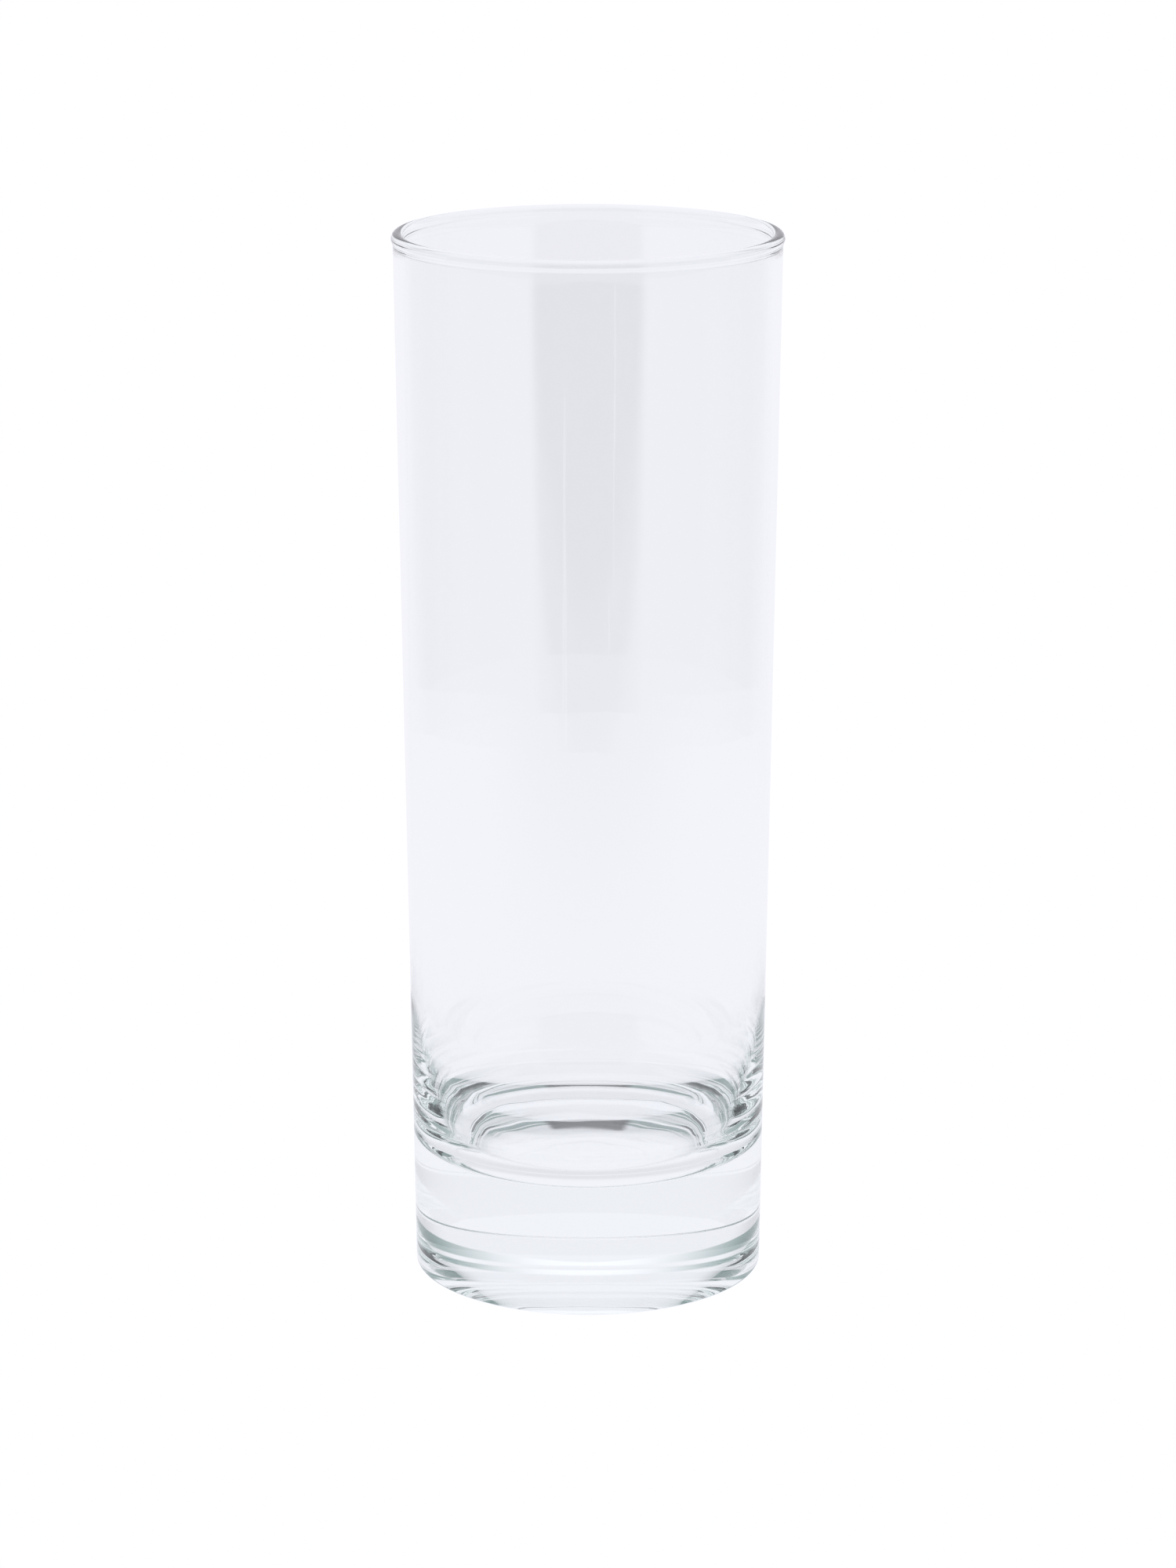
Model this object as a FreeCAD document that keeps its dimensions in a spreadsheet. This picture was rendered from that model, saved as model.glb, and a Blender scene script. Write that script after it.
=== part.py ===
"""Glass cylinder vase: one piece of clear glass, slightly wider at the mouth than at the base.

The vessel is a solid of revolution about Z.  Its origin is the centre of the foot circle, +Z is up,
and every size is in millimetres.  All driving sizes live in the "dims" spreadsheet.
"""
import FreeCAD, Part
import os

import Sketcher

DOC_NAME = "glass_cylinder_vase"
NODE_NAME = "glass_body"

# alias, size in mm, what it is
DRIVING_SIZES = [
    ("height", 180.0, "foot to the top of the rim"),
    ("base_radius", 30.0, "outside of the wall, carried down to the table"),
    ("mouth_radius", 32.38, "outside of the wall, carried up to the rim"),
    ("mouth_inner_radius", 30.68, "inside of the wall at the rim"),
    ("bowl_top_radius", 30.45, "inside of the wall where it starts to thicken"),
    ("bowl_top_height", 50.0, "height at which the wall starts to thicken"),
    ("bowl_curve_radius", 100.0, "the long inside curve of the thickening wall"),
    ("bowl_slope", 12.5, "lean of the wall, in degrees, where it meets the floor corner"),
    ("floor_height", 20.5, "thickness of the solid base"),
    ("floor_corner_radius", 9.0, "large rounding between the wall and the floor"),
    ("heel_radius", 0.1, "rounding of the crisp outside bottom edge"),
    ("push_up", 3.2, "rise of the hollow underside at its centre"),
    ("push_up_radius", 29.4, "outer radius of the hollow underside"),
    ("bead_radius", 1.05, "section radius of the fire-polished rim"),
    ("bead_centre_radius", 31.62, "distance of the rim's section centre from the axis"),
    ("neck_radius", 1.5, "hollow blend between the rim bead and the outside wall"),
    ("cutter_overrun", 5.0, "how far the cavity's outline passes the rim"),
]


def make_sheet(doc):
    """Put the driving sizes in a spreadsheet, one aliased cell each."""
    sheet = doc.addObject("Spreadsheet::Sheet", "dims")
    for row, (alias, value, note) in enumerate(DRIVING_SIZES, start=1):
        sheet.set(f"A{row}", alias)
        sheet.set(f"B{row}", str(value))
        sheet.setAlias(f"B{row}", alias)
        sheet.set(f"C{row}", note)
    doc.recompute()
    return sheet


def origin_plane(body, role):
    """The body's own origin plane with the given role."""
    return next(item for item in body.Origin.OriginFeatures if item.Role == role)


def section_sketch(body, name):
    """A sketch on the body's XZ plane: its x is the radius and its y is the height."""
    sketch = body.newObject("Sketcher::SketchObject", name)
    sketch.AttachmentSupport = (origin_plane(body, "XZ_Plane"), [""])
    sketch.MapMode = "FlatFace"
    return sketch


def point(radius, height):
    """A sketch point from a radius and a height."""
    return FreeCAD.Vector(radius, height, 0)


def line(start, end):
    """A straight piece of an outline."""
    return Part.LineSegment(start, end)


def arc(centre, radius, first_angle, last_angle):
    """A round piece of an outline, counter-clockwise between two angles in radians."""
    circle = Part.Circle(centre, FreeCAD.Vector(0, 0, 1), radius)
    return Part.ArcOfCircle(circle, first_angle, last_angle)


def add_outline(sketch, pieces, smooth=()):
    """Closed chain in which each piece ends where the next starts; the listed pieces end tangent."""
    for piece in pieces:
        sketch.addGeometry(piece)
    for index in range(len(pieces)):
        following = (index + 1) % len(pieces)
        kind = "Tangent" if index in smooth else "Coincident"
        sketch.addConstraint(Sketcher.Constraint(kind, index, 2, following, 1))


def bind(sketch, kind, *target, expression):
    """Add a dimension to the sketch and drive it by an expression."""
    value = float(sketch.evalExpression(expression))
    index = sketch.addConstraint(Sketcher.Constraint(kind, *target, value))
    sketch.setExpression(f"Constraints[{index}]", expression)


def pin_radius(sketch, line, end, expression):
    """Fix the distance of a line's end from the axis."""
    bind(sketch, "DistanceX", -1, 1, line, end, expression=expression)


def pin_height(sketch, line, end, expression):
    """Fix the height of a line's end above the foot."""
    bind(sketch, "DistanceY", -1, 1, line, end, expression=expression)


def on_axis(sketch, line, end):
    """Keep a line's end on the axis of revolution."""
    sketch.addConstraint(Sketcher.Constraint("PointOnObject", line, end, -2))


def revolve(body, kind, name, sketch):
    """Turn a sketch through a full circle about the vessel's axis, adding or removing glass."""
    feature = body.newObject(f"PartDesign::{kind}", name)
    feature.Profile = sketch
    feature.ReferenceAxis = (sketch, ["V_Axis"])
    feature.Angle = 360.0
    sketch.Visibility = False
    return feature


def solid_blank(body):
    """The outside shape, still full of glass: flat foot, tapered wall, square top at the bead's centre."""
    sketch = section_sketch(body, "outside_outline")
    foot, wall, top, axis = range(4)
    corners = [point(0, 0), point(30, 0), point(32, 179), point(0, 179)]
    pieces = [line(corners[index], corners[(index + 1) % 4]) for index in range(4)]
    add_outline(sketch, pieces)
    sketch.addConstraint(Sketcher.Constraint("Coincident", foot, 1, -1, 1))
    sketch.addConstraint(Sketcher.Constraint("Horizontal", foot))
    sketch.addConstraint(Sketcher.Constraint("Horizontal", top))
    on_axis(sketch, axis, 1)
    bead_height = "dims.height - dims.bead_radius"
    taper = "(dims.mouth_radius - dims.base_radius) / dims.height"
    pin_radius(sketch, foot, 2, "dims.base_radius")
    pin_height(sketch, wall, 2, bead_height)
    pin_radius(sketch, wall, 2, f"dims.base_radius + {taper} * ({bead_height})")
    return revolve(body, "Revolution", "solid_blank", sketch)


def cavity(body):
    """The inside: floor, a leaning wall, one long arc, then a nearly straight wall to the mouth."""
    sketch = section_sketch(body, "cavity_outline")
    floor, lean, bowl, wall, top, axis = range(6)
    pieces = [
        line(point(0, 20), point(26, 20)),
        line(point(26, 20), point(28, 28)),
        arc(point(-70, 50), 100, -0.2, 0.0),
        line(point(30, 50), point(31, 185)),
        line(point(31, 185), point(0, 185)),
        line(point(0, 185), point(0, 20)),
    ]
    add_outline(sketch, pieces, smooth=[lean, bowl])
    sketch.addConstraint(Sketcher.Constraint("Horizontal", floor))
    sketch.addConstraint(Sketcher.Constraint("Horizontal", top))
    on_axis(sketch, floor, 1)
    on_axis(sketch, axis, 1)
    pin_height(sketch, floor, 1, "dims.floor_height")
    pin_radius(sketch, wall, 1, "dims.bowl_top_radius")
    pin_height(sketch, wall, 1, "dims.bowl_top_height")
    pin_radius(sketch, wall, 2, "dims.mouth_inner_radius")
    pin_height(sketch, wall, 2, "dims.height + dims.cutter_overrun")
    bind(sketch, "Radius", bowl, expression="dims.bowl_curve_radius")
    bowl_drop = "dims.bowl_curve_radius * sin(dims.bowl_slope * 1 deg)"
    pin_height(sketch, bowl, 1, f"dims.bowl_top_height - {bowl_drop}")
    return revolve(body, "Groove", "cavity", sketch)


def rim_bead(body):
    """The fire-polished rim: a full round that stands just proud of the wall outside."""
    sketch = section_sketch(body, "rim_section")
    bead = sketch.addGeometry(Part.Circle(point(31.6, 179), FreeCAD.Vector(0, 0, 1), 1))
    bind(sketch, "DistanceX", -1, 1, bead, 3, expression="dims.bead_centre_radius")
    bind(sketch, "DistanceY", -1, 1, bead, 3, expression="dims.height - dims.bead_radius")
    bind(sketch, "Radius", bead, expression="dims.bead_radius")
    return revolve(body, "Revolution", "rim_bead", sketch)


def push_up(body):
    """The domed hollow of the underside, so that the vessel stands on a narrow ring."""
    sketch = section_sketch(body, "push_up_section")
    foot, dome, axis = range(3)
    pieces = [
        line(point(0, 0), point(29, 0)),
        arc(point(0, -133), 136, 1.354, 1.5708),
        line(point(0, 3), point(0, 0)),
    ]
    add_outline(sketch, pieces)
    sketch.addConstraint(Sketcher.Constraint("Coincident", foot, 1, -1, 1))
    sketch.addConstraint(Sketcher.Constraint("Horizontal", foot))
    sketch.addConstraint(Sketcher.Constraint("Vertical", axis))
    sketch.addConstraint(Sketcher.Constraint("PointOnObject", dome, 3, -2))
    pin_radius(sketch, foot, 2, "dims.push_up_radius")
    pin_height(sketch, axis, 1, "dims.push_up")
    return revolve(body, "Groove", "push_up", sketch)


def round_edge(doc, body, name, radius, height, alias):
    """Fillet the circular edge that has the given radius and height."""
    doc.recompute()
    base = body.Tip
    best = min(
        range(len(base.Shape.Edges)),
        key=lambda index: edge_distance(base.Shape.Edges[index], radius, height),
    )
    feature = body.newObject("PartDesign::Fillet", name)
    feature.Base = (base, [f"Edge{best + 1}"])
    feature.setExpression("Radius", f"dims.{alias}")
    return feature


def edge_distance(edge, radius, height):
    """How far an edge is from the circle of that radius at that height about the vessel's axis."""
    box = edge.BoundBox
    return abs(box.XLength / 2 - radius) + abs(box.ZMax - height) + box.ZLength


def neck_circle(sheet):
    """Radius and height of the circle where the rim bead leaves the outside wall."""
    taper = (sheet.mouth_radius - sheet.base_radius) / sheet.height
    bead_height = sheet.height - sheet.bead_radius
    wall_radius = sheet.base_radius + taper * bead_height
    inset = wall_radius - sheet.bead_centre_radius
    drop = (sheet.bead_radius**2 - inset**2) ** 0.5
    return wall_radius, bead_height - drop


def make_glass_body(doc, sheet):
    """Build the vessel as one PartDesign body."""
    body = doc.addObject("PartDesign::Body", "glass_body")
    body.Label = NODE_NAME
    solid_blank(body)
    round_edge(doc, body, "heel", sheet.base_radius, 0.0, "heel_radius")
    hollow = cavity(body)
    doc.recompute()
    floor_edge = hollow.Profile[0].Geometry[0].EndPoint.x
    round_edge(doc, body, "floor_corner", floor_edge, sheet.floor_height, "floor_corner_radius")
    push_up(body)
    rim_bead(body)
    neck_radius, neck_height = neck_circle(sheet)
    round_edge(doc, body, "neck", neck_radius, neck_height, "neck_radius")
    doc.recompute()
    body.Placement = FreeCAD.Placement()
    return body


def check_document(doc):
    """Stop if any object failed to build."""
    for item in doc.Objects:
        bad = {"Invalid", "Error"} & set(item.State)
        if bad:
            raise RuntimeError(f"{item.Name} is {sorted(bad)}")


def check_volumes(body):
    """Stop if a step did not change the volume of glass the way it should."""
    grows = {"PartDesign::Revolution"}
    shrinks = {"PartDesign::Groove"}
    before = 0.0
    for feature in body.Group:
        if not feature.isDerivedFrom("PartDesign::Feature"):
            continue
        volume = feature.Shape.Volume
        print(f"{feature.Name:14s} {volume:12.1f} mm3")
        if feature.TypeId in grows and volume <= before:
            raise RuntimeError(f"{feature.Name} added nothing")
        if feature.TypeId in shrinks and volume >= before:
            raise RuntimeError(f"{feature.Name} removed nothing")
        before = volume


def write_step(body):
    """Check the finished solid and write it under its node's name."""
    shape = body.Shape
    if shape.isNull() or not shape.isValid():
        raise RuntimeError(f"{body.Label} has no valid shape")
    if len(shape.Solids) != 1:
        raise RuntimeError(f"{body.Label} should be one solid, not {len(shape.Solids)}")
    os.makedirs("parts", exist_ok=True)
    shape.exportStep(f"parts/{body.Label}.step")


def main():
    doc = FreeCAD.newDocument(DOC_NAME)
    sheet = make_sheet(doc)
    vessel = make_glass_body(doc, sheet)
    check_document(doc)
    check_volumes(vessel)
    write_step(vessel)


main()
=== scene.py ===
import math

import bpy
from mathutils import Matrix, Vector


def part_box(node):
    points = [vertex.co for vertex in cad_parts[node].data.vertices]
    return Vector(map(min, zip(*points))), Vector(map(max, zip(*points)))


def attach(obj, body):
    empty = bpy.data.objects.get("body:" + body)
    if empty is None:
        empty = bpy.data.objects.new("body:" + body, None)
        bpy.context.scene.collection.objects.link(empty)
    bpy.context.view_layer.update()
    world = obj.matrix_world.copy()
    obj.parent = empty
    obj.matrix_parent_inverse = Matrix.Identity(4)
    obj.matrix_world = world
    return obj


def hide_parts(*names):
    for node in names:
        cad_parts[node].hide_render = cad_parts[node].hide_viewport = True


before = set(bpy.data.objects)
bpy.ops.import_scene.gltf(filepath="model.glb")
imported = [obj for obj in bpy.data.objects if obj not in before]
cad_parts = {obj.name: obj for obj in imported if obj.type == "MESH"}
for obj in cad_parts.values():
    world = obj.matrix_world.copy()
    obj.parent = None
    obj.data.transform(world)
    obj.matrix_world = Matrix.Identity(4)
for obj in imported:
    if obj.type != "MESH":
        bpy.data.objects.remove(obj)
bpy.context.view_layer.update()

# ---------------------------------------------------------------- sizes
# Millimetres, as in the CAD part. The height and the mouth come from the CAD box.
MM = 0.001
LOW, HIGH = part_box("glass_body")
HEIGHT = HIGH[2] / MM
BEAD_OUTER = HIGH[0] / MM

BASE_RADIUS = 30.0
MOUTH_RADIUS = 32.38
MOUTH_INNER_RADIUS = 30.68
BOWL_TOP_RADIUS = 30.45
BOWL_TOP_HEIGHT = 50.0
BOWL_CURVE_RADIUS = 100.0
BOWL_SLOPE = 12.5
FLOOR_HEIGHT = 20.5
FLOOR_CORNER_RADIUS = 9.0
HEEL_RADIUS = 0.1
PUSH_UP = 3.2
PUSH_UP_RADIUS = 29.4
BEAD_RADIUS = 1.05
BEAD_CENTRE_RADIUS = BEAD_OUTER - BEAD_RADIUS
BEAD_CENTRE_HEIGHT = HEIGHT - BEAD_RADIUS

# How far below the rim bead the outer wall ends, and how far below its centre the inner wall starts.
NECK_DROP = 0.4
MOUTH_DROP = 0.6

# Rows of the mesh up the outer wall, and points round it.
WALL_ROWS = 98
SEGMENTS = 320

# Only in the visual model: how far the inside of the lower wall waves in and out.
RING_WAVE = 0.018
SWELL_WAVE = 0.012
WAVE_HEIGHT = 32.0
WAVE_REACH = 12.0
STILL_ABOVE_FLOOR = 1.0
STILL_BELOW_RIM = 6.0
LEAST_WALL = 0.9

# ---------------------------------------------------------------- glass and light
GLASS_TINT = (0.988, 0.994, 0.998, 1.0)
GLASS_IOR = 1.52
ABSORPTION_TINT = (0.85, 0.95, 0.933, 1.0)
ABSORPTION_DENSITY = 3.0

# Light levels: the white the camera sees, and what the glass sees of it in each direction.
WHITE = (1.0, 1.0, 1.05)
ROOM_LEVEL = 0.915
SIDE_LEVEL = 0.80
FRONT_LEVEL = 0.72
# Painted shade: the floor's level in a ring under the foot, a painted contact shadow seen through the
# glass.
FOOT_SHADE = 0.86

# Two dark bands high on both sides behind the vase, by angle above the horizon. The lower edge of
# the first falls away from straight behind. Between the sides the bands are a little brighter.
BAND_LOW = 25.0
BAND_FALL = 0.19
BAND_SPLIT = 28.5
BAND_SECOND = 32.5
BAND_TOP = 37.0
BAND_EDGE = 0.7
BAND_GAP = 4.0
BAND_FULL = 58.0
BAND_DARK = (0.68, 0.57, 0.59)
STRIP_GLOW = 0.12

# The dark gap straight in front: half width, the angle below which it narrows, how far it goes down
# from there, the angle where it ends above, and how dark it is.
GAP_WIDTH = 36.0
GAP_TOP = -8.9
GAP_DROP = 5.9
GAP_CEILING = 50.0
GAP_EDGE = 4.0
FRONT_DARK = 0.95

# Bright slits in the gap: bearing, lowest and highest angle.
SLITS = [(-13.8, -14.1, -11.8), (15.8, -12.4, -10.1)]
SLIT_HALF = 0.45
SLIT_END = 0.4
SLIT_LIGHT = 1.0

# The floor's disc and where its light changes, in metres from the axis: the painted shade ring under the
# foot and the start of the painted shade towards the front.
FLOOR_RADIUS = 0.42
FLOOR_DROP = 0.0001
SHADE_START = 0.020
SHADE_FULL = 0.026
SHADE_END = 0.0290
SHADE_CLEAR = 0.0300
FADE_START = 0.10


# The camera, in metres and radians, looking slightly down at the vase.
CAMERA_PLACE = (0.0, -0.77463, 0.29452)
CAMERA_TILT = 0.264
SENSOR_WIDTH = 36.0
LENS = 107.8

# Light passes many surfaces inside the thick base.
LIGHT_BOUNCES = 48


# ---------------------------------------------------------------- outline
def outer_radius(z):
    return BASE_RADIUS + (MOUTH_RADIUS - BASE_RADIUS) * z / HEIGHT


def inner_radius(z):
    share = (z - BOWL_TOP_HEIGHT) / (HEIGHT - BOWL_TOP_HEIGHT)
    return BOWL_TOP_RADIUS + (MOUTH_INNER_RADIUS - BOWL_TOP_RADIUS) * share


def arc_points(centre_r, centre_z, radius, start, end, count):
    """Points of an arc in the half plane, from start to end in degrees."""
    points = []
    for i in range(count + 1):
        turn = math.radians(start + (end - start) * i / count)
        points.append((centre_r + radius * math.cos(turn), centre_z + radius * math.sin(turn)))
    return points


def line_points(start, end, count):
    """Points between two ends, the first end left out."""
    return [
        (start[0] + (end[0] - start[0]) * i / count, start[1] + (end[1] - start[1]) * i / count)
        for i in range(1, count + 1)
    ]


def push_up_outline():
    """The dome under the base, from the axis out to the resting ring."""
    curve = (PUSH_UP_RADIUS ** 2 + PUSH_UP ** 2) / (2 * PUSH_UP)
    points = []
    for i in range(31):
        r = PUSH_UP_RADIUS * i / 30
        points.append((r, PUSH_UP - curve + math.sqrt(curve ** 2 - r ** 2)))
    return points


def wall_outline():
    """The heel, the outer wall and the rolled rim, up to the inside of the rim."""
    heel_r = outer_radius(HEEL_RADIUS) - HEEL_RADIUS
    points = arc_points(heel_r, HEEL_RADIUS, HEEL_RADIUS, -90, 0, 10)
    top = BEAD_CENTRE_HEIGHT - BEAD_RADIUS - NECK_DROP
    points += line_points(points[-1], (outer_radius(top), top), WALL_ROWS)
    points += arc_points(BEAD_CENTRE_RADIUS, BEAD_CENTRE_HEIGHT, BEAD_RADIUS, -35, 190, 30)
    return points


def inside_outline():
    """The inner wall, the curve into the sloping bowl, and the floor, down to the axis."""
    start_z = BEAD_CENTRE_HEIGHT - MOUTH_DROP
    start = (inner_radius(start_z), start_z)
    points = [start]
    points += line_points(start, (BOWL_TOP_RADIUS, BOWL_TOP_HEIGHT), 60)
    slope = math.radians(BOWL_SLOPE)
    curve_end_r = BOWL_TOP_RADIUS - BOWL_CURVE_RADIUS * (1 - math.cos(slope))
    curve_end_z = BOWL_TOP_HEIGHT - BOWL_CURVE_RADIUS * math.sin(slope)
    centre_r = BOWL_TOP_RADIUS - BOWL_CURVE_RADIUS
    points += arc_points(centre_r, BOWL_TOP_HEIGHT, BOWL_CURVE_RADIUS, 0, -BOWL_SLOPE, 24)[1:]
    corner_z = FLOOR_HEIGHT + FLOOR_CORNER_RADIUS
    slope_r = curve_end_r - math.tan(slope) * (curve_end_z - corner_z)
    corner_r = slope_r - FLOOR_CORNER_RADIUS / math.cos(slope)
    corner_start = arc_points(corner_r, corner_z, FLOOR_CORNER_RADIUS, -BOWL_SLOPE, -90, 14)
    points += line_points((curve_end_r, curve_end_z), corner_start[0], 24)
    points += corner_start[1:]
    points += line_points((corner_r, FLOOR_HEIGHT), (0.0, FLOOR_HEIGHT), 24)
    return points


# ---------------------------------------------------------------- waviness
def wave(angle, z):
    """Chill waves in the bowl, in millimetres: fine rings that drift and fade round the wall."""
    bowl = math.exp(-((z - WAVE_HEIGHT) / WAVE_REACH) ** 2)
    drift = 0.9 * math.sin(3 * angle + 0.7) + 0.6 * math.sin(7 * angle + 2.0) + 0.3 * math.sin(13 * angle)
    rings = math.sin(2.4 * z + drift) + 0.6 * math.sin(3.9 * z - 1.3 * drift + 1.0)
    fade = 0.65 + 0.35 * math.sin(5 * angle - 0.3 * z + 0.5)
    swell = 0.5 * math.sin(9 * angle - 0.21 * z + 2.1) + 0.4 * math.sin(14 * angle + 0.33 * z + 4.0)
    return bowl * (RING_WAVE * rings * fade + SWELL_WAVE * swell)


def place(r, z, angle):
    """A point of the outline turned to an angle, in metres, waved where it is on the inner wall."""
    on_inner_wall = r < outer_radius(z) - LEAST_WALL
    if on_inner_wall and FLOOR_HEIGHT + STILL_ABOVE_FLOOR < z < HEIGHT - STILL_BELOW_RIM:
        r += wave(angle, z)
    return (r * math.cos(angle) * MM, r * math.sin(angle) * MM, z * MM)


# ---------------------------------------------------------------- mesh
def crease(mesh, rings):
    """Keep the edge of the push-up crisp instead of shading across it."""
    near = 0.01
    sharp = {k for k, (r, z) in enumerate(rings) if abs(r - PUSH_UP_RADIUS) < near and z < near}
    for edge in mesh.edges:
        low, high = edge.vertices
        ring = (low - 1) // SEGMENTS
        if ring in sharp and (high - 1) // SEGMENTS == ring:
            edge.use_edge_sharp = True


def turned_mesh(name, outline):
    """A closed solid of revolution from an outline that starts and ends on the axis."""
    rings = outline[1:-1]
    verts = [(0.0, 0.0, outline[0][1] * MM)]
    for r, z in rings:
        verts += [place(r, z, 2 * math.pi * s / SEGMENTS) for s in range(SEGMENTS)]
    verts.append((0.0, 0.0, outline[-1][1] * MM))
    last = len(verts) - 1
    faces = []
    for s in range(SEGMENTS):
        t = (s + 1) % SEGMENTS
        faces.append((0, 1 + t, 1 + s))
        for k in range(len(rings) - 1):
            low = 1 + k * SEGMENTS
            high = low + SEGMENTS
            faces.append((low + s, low + t, high + t, high + s))
        top = 1 + (len(rings) - 1) * SEGMENTS
        faces.append((top + s, top + t, last))
    mesh = bpy.data.meshes.new(name)
    mesh.from_pydata(verts, [], faces)
    mesh.update()
    for polygon in mesh.polygons:
        polygon.use_smooth = True
    crease(mesh, rings)
    piece = bpy.data.objects.new(name, mesh)
    bpy.context.scene.collection.objects.link(piece)
    return piece


# ---------------------------------------------------------------- node helpers
def new_tree(owner):
    owner.use_nodes = True
    tree = owner.node_tree
    tree.nodes.clear()
    return tree


def add_node(tree, kind, **values):
    node = tree.nodes.new(kind)
    for key, value in values.items():
        setattr(node, key, value)
    return node


def maths(tree, operation, *inputs, clamp=False):
    """A Math node. Each input is a number or another node's output."""
    node = add_node(tree, "ShaderNodeMath", operation=operation, use_clamp=clamp)
    for socket, value in zip(node.inputs, inputs):
        if isinstance(value, (int, float)):
            socket.default_value = value
        else:
            tree.links.new(value, socket)
    return node.outputs[0]


def ramp_between(tree, value, low, high):
    """0 below low, 1 above high, smooth between."""
    node = add_node(tree, "ShaderNodeMapRange", interpolation_type="SMOOTHSTEP")
    tree.links.new(value, node.inputs["Value"])
    node.inputs["From Min"].default_value = low
    node.inputs["From Max"].default_value = high
    return node.outputs["Result"]


def flip(tree, value):
    """1 minus a value."""
    return maths(tree, "SUBTRACT", 1.0, value)


def between(tree, value, low, high, edge):
    """1 from low to high and 0 outside, with soft edges."""
    over_low = ramp_between(tree, value, low - edge, low + edge)
    over_high = ramp_between(tree, value, high - edge, high + edge)
    return maths(tree, "SUBTRACT", over_low, over_high)


# ---------------------------------------------------------------- materials
def add_ripple(tree, shader):
    """Weak, upright unevenness of the surface."""
    place_of = add_node(tree, "ShaderNodeTexCoord")
    stretch = add_node(tree, "ShaderNodeMapping")
    stretch.inputs["Scale"].default_value = (1.0, 1.0, 0.35)
    tree.links.new(place_of.outputs["Object"], stretch.inputs["Vector"])
    ripple = add_node(tree, "ShaderNodeTexNoise")
    ripple.inputs["Scale"].default_value = 70.0
    ripple.inputs["Detail"].default_value = 2.0
    tree.links.new(stretch.outputs["Vector"], ripple.inputs["Vector"])
    bump = add_node(tree, "ShaderNodeBump")
    bump.inputs["Strength"].default_value = 0.25
    bump.inputs["Distance"].default_value = 0.00010
    tree.links.new(ripple.outputs["Fac"], bump.inputs["Height"])
    tree.links.new(bump.outputs["Normal"], shader.inputs["Normal"])


def clear_glass():
    """Clear soda-lime glass that absorbs a little red."""
    material = bpy.data.materials.new("clear_glass_soda_lime")
    tree = new_tree(material)
    output = add_node(tree, "ShaderNodeOutputMaterial")
    shader = add_node(tree, "ShaderNodeBsdfPrincipled")
    shader.inputs["Base Color"].default_value = GLASS_TINT
    shader.inputs["Transmission Weight"].default_value = 1.0
    shader.inputs["IOR"].default_value = GLASS_IOR
    shader.inputs["Roughness"].default_value = 0.0
    tree.links.new(shader.outputs["BSDF"], output.inputs["Surface"])
    add_ripple(tree, shader)

    absorb = add_node(tree, "ShaderNodeVolumeAbsorption")
    absorb.inputs["Color"].default_value = ABSORPTION_TINT
    absorb.inputs["Density"].default_value = ABSORPTION_DENSITY
    tree.links.new(absorb.outputs["Volume"], output.inputs["Volume"])
    return material


def lit_floor():
    """A pale table that gives off light, so no shadow shows on it.

    The camera sees it pure white.  The glass sees it a little dimmer, with painted shade: a painted
    contact shadow in a ring under the foot, and painted shade towards the front edge.
    """
    material = bpy.data.materials.new("pale_floor")
    tree = new_tree(material)
    output = add_node(tree, "ShaderNodeOutputMaterial")
    glow = add_node(tree, "ShaderNodeEmission")
    glow.inputs["Color"].default_value = (*WHITE, 1.0)
    where = add_node(tree, "ShaderNodeTexCoord")
    reach = add_node(tree, "ShaderNodeVectorMath", operation="LENGTH")
    tree.links.new(where.outputs["Object"], reach.inputs[0])
    # Painted shade: the ring from SHADE_FULL to SHADE_END is darkened to FOOT_SHADE as a painted contact
    # shadow, full level inside and outside it.
    outside = ramp_between(tree, reach.outputs["Value"], SHADE_END, SHADE_CLEAR)
    middle = flip(tree, ramp_between(tree, reach.outputs["Value"], SHADE_START, SHADE_FULL))
    lift = maths(tree, "MULTIPLY", maths(tree, "ADD", outside, middle), 1.0 - FOOT_SHADE)
    axes = add_node(tree, "ShaderNodeSeparateXYZ")
    tree.links.new(where.outputs["Object"], axes.inputs[0])
    forward = maths(tree, "MULTIPLY", axes.outputs["Y"], -1.0)
    # Painted shade towards the front edge of the floor, from FADE_START out to the floor's rim.
    front_loss = (1.0 - FRONT_LEVEL) * ROOM_LEVEL
    painted_front_shade = maths(tree, "MULTIPLY", ramp_between(tree, forward, FADE_START, FLOOR_RADIUS), front_loss)
    level = maths(tree, "MULTIPLY", maths(tree, "ADD", lift, FOOT_SHADE), ROOM_LEVEL)
    level = maths(tree, "SUBTRACT", level, painted_front_shade)
    seen = add_node(tree, "ShaderNodeLightPath")
    tree.links.new(maths(tree, "MAXIMUM", level, seen.outputs["Is Camera Ray"]), glow.inputs["Strength"])
    tree.links.new(glow.outputs["Emission"], output.inputs["Surface"])
    return material


# ---------------------------------------------------------------- surroundings
def make_floor():
    bpy.ops.mesh.primitive_circle_add(
        vertices=128, radius=FLOOR_RADIUS, fill_type="NGON", location=(0, 0, -FLOOR_DROP))
    floor = bpy.context.object
    floor.name = "floor"
    floor.data.materials.append(lit_floor())


def bands_behind(tree, off_back, rise):
    """The two bands' place, 0 to 1, by angle off straight behind and angle above the horizon."""
    foot = maths(tree, "ADD", rise, maths(tree, "MULTIPLY", off_back, BAND_FALL))
    first = maths(
        tree, "SUBTRACT",
        ramp_between(tree, foot, BAND_LOW - BAND_EDGE, BAND_LOW + BAND_EDGE),
        ramp_between(tree, rise, BAND_SPLIT - BAND_EDGE, BAND_SPLIT + BAND_EDGE))
    second = between(tree, rise, BAND_SECOND, BAND_TOP, BAND_EDGE)
    return maths(tree, "ADD", maths(tree, "MAXIMUM", first, 0.0), maths(tree, "MAXIMUM", second, 0.0))


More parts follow.
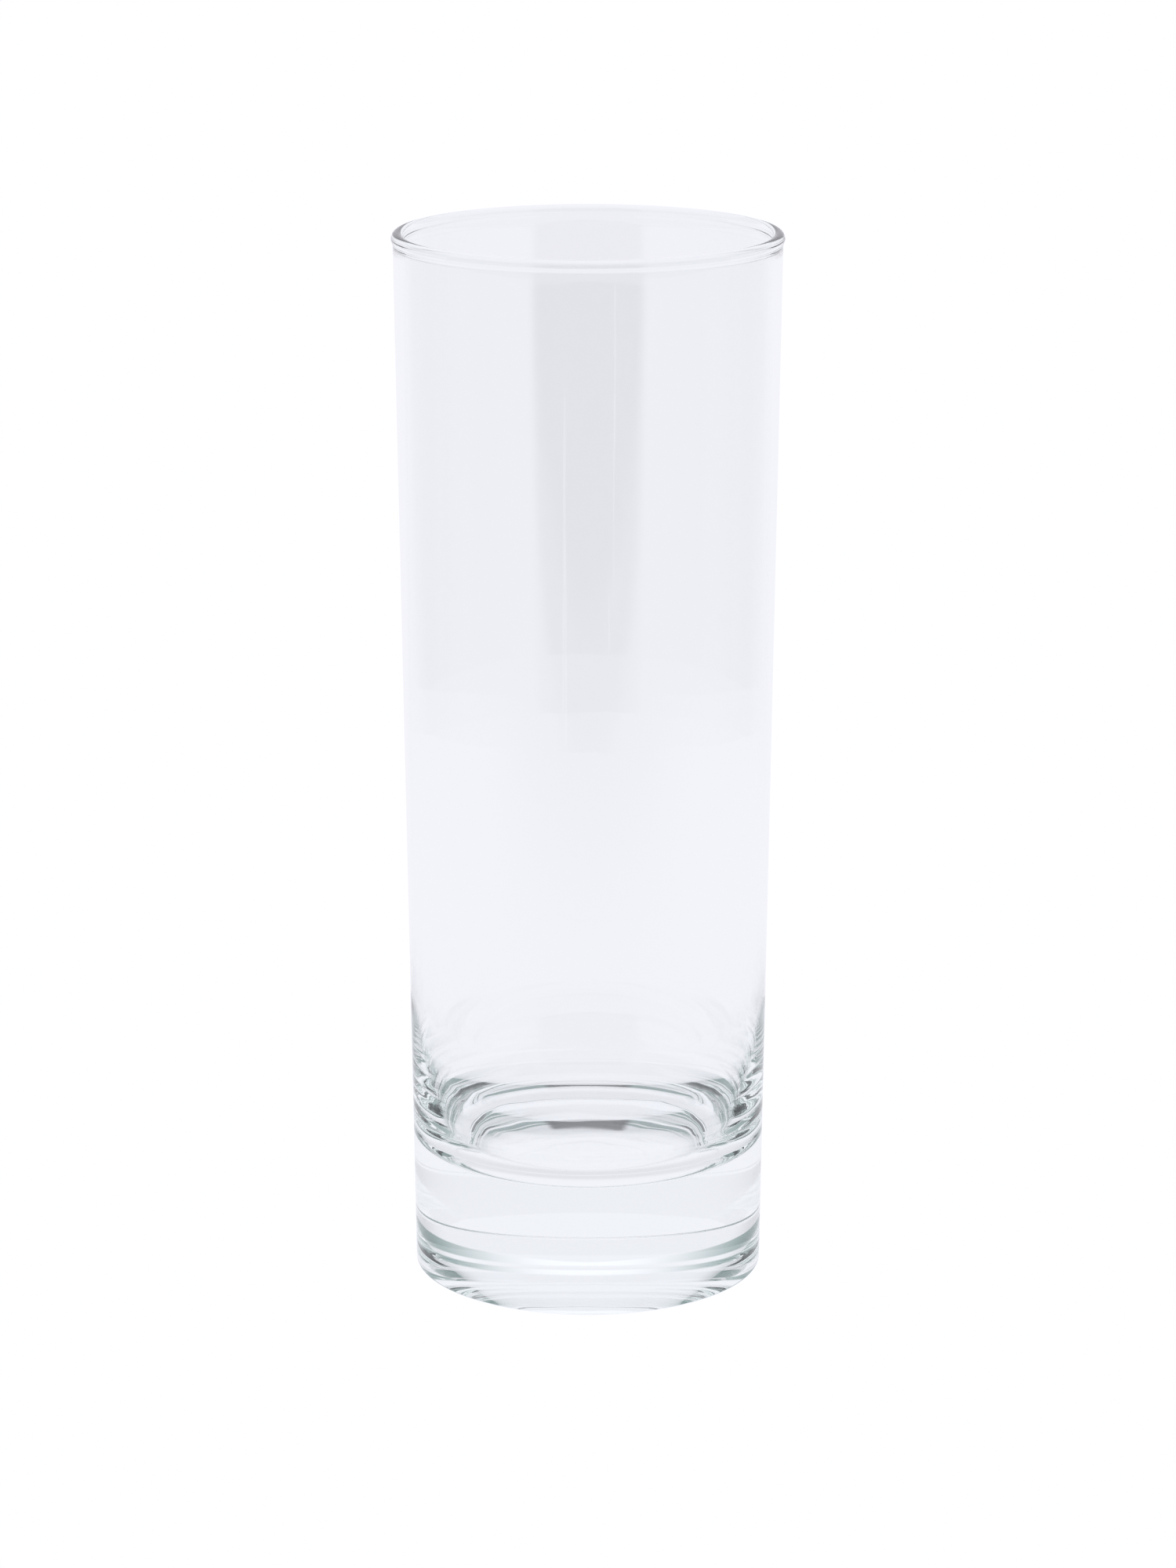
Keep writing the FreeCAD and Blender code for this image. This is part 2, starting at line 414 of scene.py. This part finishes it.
def room_light(tree, off_back):
    """White behind, a little dimmer to the sides and dimmer still in front."""
    side_loss = maths(tree, "MULTIPLY", ramp_between(tree, off_back, 40, 62), 1.0 - SIDE_LEVEL)
    front_loss = maths(tree, "MULTIPLY", ramp_between(tree, off_back, 95, 115), SIDE_LEVEL - FRONT_LEVEL)
    return maths(tree, "SUBTRACT", flip(tree, side_loss), front_loss)


def front_gap(tree, off_back, rise):
    """The unlit room straight in front, 0 to 1: upright sides, round below, open to a ceiling."""
    across = maths(tree, "DIVIDE", maths(tree, "SUBTRACT", 180.0, off_back), GAP_WIDTH)
    under = maths(tree, "MINIMUM", maths(tree, "SUBTRACT", rise, GAP_TOP), 0.0)
    below = maths(tree, "DIVIDE", under, GAP_DROP)
    spot = maths(tree, "ADD", maths(tree, "POWER", across, 2.0), maths(tree, "POWER", below, 2.0))
    inside = flip(tree, ramp_between(tree, spot, 0.7, 1.15))
    under_ceiling = flip(tree, ramp_between(tree, rise, GAP_CEILING - GAP_EDGE, GAP_CEILING + GAP_EDGE))
    return maths(tree, "MULTIPLY", inside, under_ceiling)


def front_slit(tree, bearing, rise, centre, low, high):
    """A narrow bright gap in the dark part, 0 to 1, seen as a fine streak in the front wall."""
    aside = maths(tree, "ABSOLUTE", maths(tree, "SUBTRACT", bearing, centre))
    across = flip(tree, ramp_between(tree, aside, SLIT_HALF * 0.5, SLIT_HALF * 1.5))
    over_low = ramp_between(tree, rise, low - SLIT_END, low + SLIT_END)
    under_high = flip(tree, ramp_between(tree, rise, high - SLIT_END, high + SLIT_END))
    return maths(tree, "MULTIPLY", across, maths(tree, "MULTIPLY", over_low, under_high))


def make_world():
    """White behind and overhead, dark bands high at the sides, and a dark gap in front."""
    world = bpy.data.worlds.new("studio")
    bpy.context.scene.world = world
    tree = new_tree(world)
    output = add_node(tree, "ShaderNodeOutputWorld")
    background = add_node(tree, "ShaderNodeBackground")
    tree.links.new(background.outputs["Background"], output.inputs["Surface"])
    ray = add_node(tree, "ShaderNodeTexCoord")
    split = add_node(tree, "ShaderNodeSeparateXYZ")
    tree.links.new(ray.outputs["Generated"], split.inputs[0])
    east, north, up = split.outputs

    # all in degrees: bearing from straight in front (-Y), angle off straight behind, and rise
    turn = maths(tree, "ARCTAN2", east, maths(tree, "MULTIPLY", north, -1.0))
    bearing = maths(tree, "DEGREES", turn)
    off_back = maths(tree, "SUBTRACT", 180.0, maths(tree, "ABSOLUTE", bearing))
    rise = maths(tree, "DEGREES", maths(tree, "ARCSINE", up))

    bands = bands_behind(tree, off_back, rise)
    band_side = ramp_between(tree, off_back, BAND_GAP, BAND_FULL)
    gap = maths(tree, "MULTIPLY", front_gap(tree, off_back, rise), FRONT_DARK)
    light = maths(tree, "MULTIPLY", room_light(tree, off_back), flip(tree, gap))
    for centre, low, high in SLITS:
        slit = front_slit(tree, bearing, rise, centre, low, high)
        light = maths(tree, "ADD", light, maths(tree, "MULTIPLY", slit, SLIT_LIGHT))
    centre_share = maths(tree, "MULTIPLY", flip(tree, band_side), STRIP_GLOW)
    light = maths(tree, "ADD", light, maths(tree, "MULTIPLY", bands, centre_share))

    # the camera sees plain white; only the glass sees the room
    seen = add_node(tree, "ShaderNodeLightPath")
    camera_ray = seen.outputs["Is Camera Ray"]
    level = maths(tree, "MAXIMUM", maths(tree, "MULTIPLY", light, ROOM_LEVEL), camera_ray)
    tint = add_node(tree, "ShaderNodeVectorMath", operation="SCALE")
    tint.inputs[0].default_value = WHITE
    tree.links.new(level, tint.inputs["Scale"])
    shade = add_node(tree, "ShaderNodeVectorMath", operation="SCALE")
    shade.inputs[0].default_value = BAND_DARK
    band = maths(tree, "MULTIPLY", bands, band_side)
    tree.links.new(maths(tree, "MULTIPLY", band, flip(tree, camera_ray)), shade.inputs["Scale"])
    keep = add_node(tree, "ShaderNodeVectorMath", operation="SUBTRACT")
    keep.inputs[0].default_value = (1.0, 1.0, 1.0)
    tree.links.new(shade.outputs["Vector"], keep.inputs[1])
    colour = add_node(tree, "ShaderNodeVectorMath", operation="MULTIPLY")
    tree.links.new(tint.outputs["Vector"], colour.inputs[0])
    tree.links.new(keep.outputs["Vector"], colour.inputs[1])
    tree.links.new(colour.outputs["Vector"], background.inputs["Color"])


def make_camera():
    data = bpy.data.cameras.new("camera")
    camera = bpy.data.objects.new("camera", data)
    bpy.context.scene.collection.objects.link(camera)
    camera.location = CAMERA_PLACE
    camera.rotation_euler = (math.pi / 2 - CAMERA_TILT, 0.0, 0.0)
    data.sensor_width = SENSOR_WIDTH
    data.lens = LENS
    data.clip_start = 0.01
    data.clip_end = 50.0
    bpy.context.scene.camera = camera


# ---------------------------------------------------------------- build
vase = turned_mesh("vase_glass", push_up_outline() + wall_outline() + inside_outline())
vase.data.materials.append(clear_glass())
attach(vase, "root")
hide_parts("glass_body")

make_floor()
make_world()
make_camera()

scene = bpy.context.scene
scene.view_settings.view_transform = "Standard"
scene.cycles.max_bounces = LIGHT_BOUNCES
scene.cycles.transmission_bounces = LIGHT_BOUNCES
scene.cycles.glossy_bounces = LIGHT_BOUNCES
scene.cycles.transparent_max_bounces = 16
